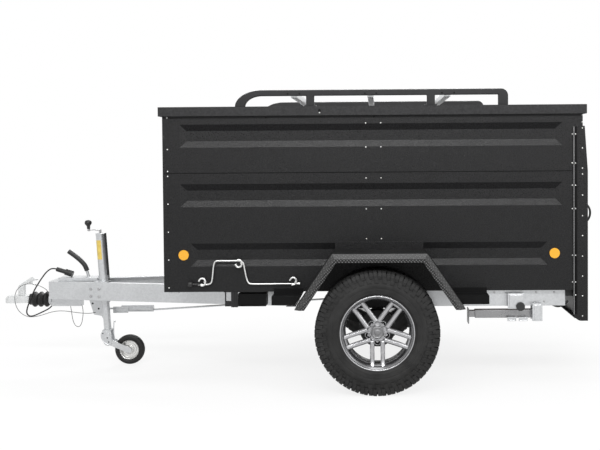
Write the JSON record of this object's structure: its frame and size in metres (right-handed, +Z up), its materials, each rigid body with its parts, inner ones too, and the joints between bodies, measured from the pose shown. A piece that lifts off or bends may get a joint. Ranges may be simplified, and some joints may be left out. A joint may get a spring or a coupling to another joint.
{
  "type": "off-road box trailer",
  "caption": "Single-axle off-road box trailer with ribbed walls, hinged lid with roof rails, tailgate, lugged tyres, angular fenders, drawbar and jockey wheel.",
  "frame": {"origin": "on the ground below the middle of the whole outline", "axes": "+X to the rear, +Y to the right-hand side, +Z up"},
  "size_m": [3.858, 1.926, 1.805],
  "materials": {
    "textured_black": "textured powder coat, matte",
    "satin_black": "smooth satin black",
    "checker_black": "black checker plate",
    "galvanised": "hot-dip galvanised",
    "aluminium_bar": "mill finish",
    "wheel_black": "satin black alloy",
    "tyre_rubber": "matte rubber",
    "black_plastic": "moulded black",
    "rubber": "moulded rubber",
    "amber": "prismatic amber",
    "red_lens": "red lens",
    "white_plate": "blank",
    "plywood": "coated plywood",
    "cast_black": "painted casting",
    "cable_steel": "thin wire rope"
  },
  "bodies": {
    "chassis": {"floor_panel": "plywood", "side_wall_lower_left": "textured_black", "side_wall_lower_right": "textured_black", "side_wall_upper_left": "textured_black", "side_wall_upper_right": "textured_black", "front_wall_lower": "textured_black", "front_wall_upper": "textured_black", "rear_wall_upper": "textured_black", "rear_posts": "satin_black", "lamp_carrier": "satin_black", "lid_hinges": "satin_black", "rear_sill": "satin_black", "crank_hooks": "satin_black", "chock_holders": "satin_black", "side_reflectors": "amber", "side_members": "galvanised", "cross_members": "galvanised", "drawbar_beams": "galvanised", "axle_beam": "galvanised", "swing_arms": "galvanised", "brake_linkage": "galvanised", "jockey_outer_tube": "galvanised", "jockey_clamp": "galvanised", "steady_brackets": "galvanised", "stored_crank": "galvanised", "overrun_housing": "cast_black", "coupling_head": "cast_black", "handbrake_lever": "cast_black", "coupling_handle": "black_plastic", "jockey_crank": "black_plastic", "wheel_chocks": "black_plastic", "lead_plug": "black_plastic", "bellows": "rubber", "towing_lead": "rubber", "breakaway_cable": "cable_steel", "wire_loop": "cable_steel", "fender_left": "checker_black", "fender_right": "checker_black", "fender_brackets": "checker_black", "tail_lamps": "red_lens", "number_plate": "white_plate"},
    "lid": {"lid_panel": "textured_black", "roof_rails": "satin_black", "crossbars": "aluminium_bar"},
    "tailgate": {"tailgate": "textured_black", "tailgate_latches": "satin_black"},
    "wheel_left": {"tyre_left": "tyre_rubber", "rim_left": "wheel_black", "brake_drum_left": "cast_black"},
    "steady_left": {"steady_leg_left": "galvanised"},
    "wheel_right": {"tyre_right": "tyre_rubber", "rim_right": "wheel_black", "brake_drum_right": "cast_black"},
    "steady_right": {"steady_leg_right": "galvanised"},
    "jockey_slide": {"jockey_inner_tube": "galvanised"},
    "jockey_fork": {"jockey_fork": "galvanised"},
    "jockey_wheel": {"jockey_wheel": "galvanised", "jockey_tyre": "rubber"}
  },
  "joints": [
    {"name": "wheel_left_spin", "type": "hinge", "parent": "chassis", "child": "wheel_left", "pos_m": [0.618, -0.8325, 0.3675], "axis": [0, -1, 0], "continuous": true},
    {"name": "wheel_right_spin", "type": "hinge", "parent": "chassis", "child": "wheel_right", "pos_m": [0.618, 0.8325, 0.3675], "axis": [0, -1, 0], "continuous": true},
    {"name": "lid_hinge", "type": "hinge", "parent": "chassis", "child": "lid", "pos_m": [-0.709, 0, 1.656], "axis": [0, -1, 0], "range_deg": [0, 55]},
    {"name": "tailgate_hinge", "type": "hinge", "parent": "chassis", "child": "tailgate", "pos_m": [1.908, 0, 0.586], "axis": [0, 1, 0], "range_deg": [0, 90]},
    {"name": "jockey_slide", "type": "slide", "parent": "chassis", "child": "jockey_slide", "axis": [-0.0644, 0, 0.9979], "range_m": [0, 0.17]},
    {"name": "jockey_swivel", "type": "hinge", "parent": "jockey_slide", "child": "jockey_fork", "pos_m": [-1.213, -0.062, 0.238], "axis": [-0.0644, 0, 0.9979], "continuous": true},
    {"name": "jockey_wheel_spin", "type": "hinge", "parent": "jockey_fork", "child": "jockey_wheel", "pos_m": [-1.063, -0.062, 0.1], "axis": [0, -1, 0], "continuous": true},
    {"name": "steady_left_swing", "type": "hinge", "parent": "chassis", "child": "steady_left", "pos_m": [1.598, -0.6, 0.426], "axis": [0, -1, 0], "range_deg": [0, 90]},
    {"name": "steady_right_swing", "type": "hinge", "parent": "chassis", "child": "steady_right", "pos_m": [1.598, 0.6, 0.426], "axis": [0, -1, 0], "range_deg": [0, 90]}
  ]
}
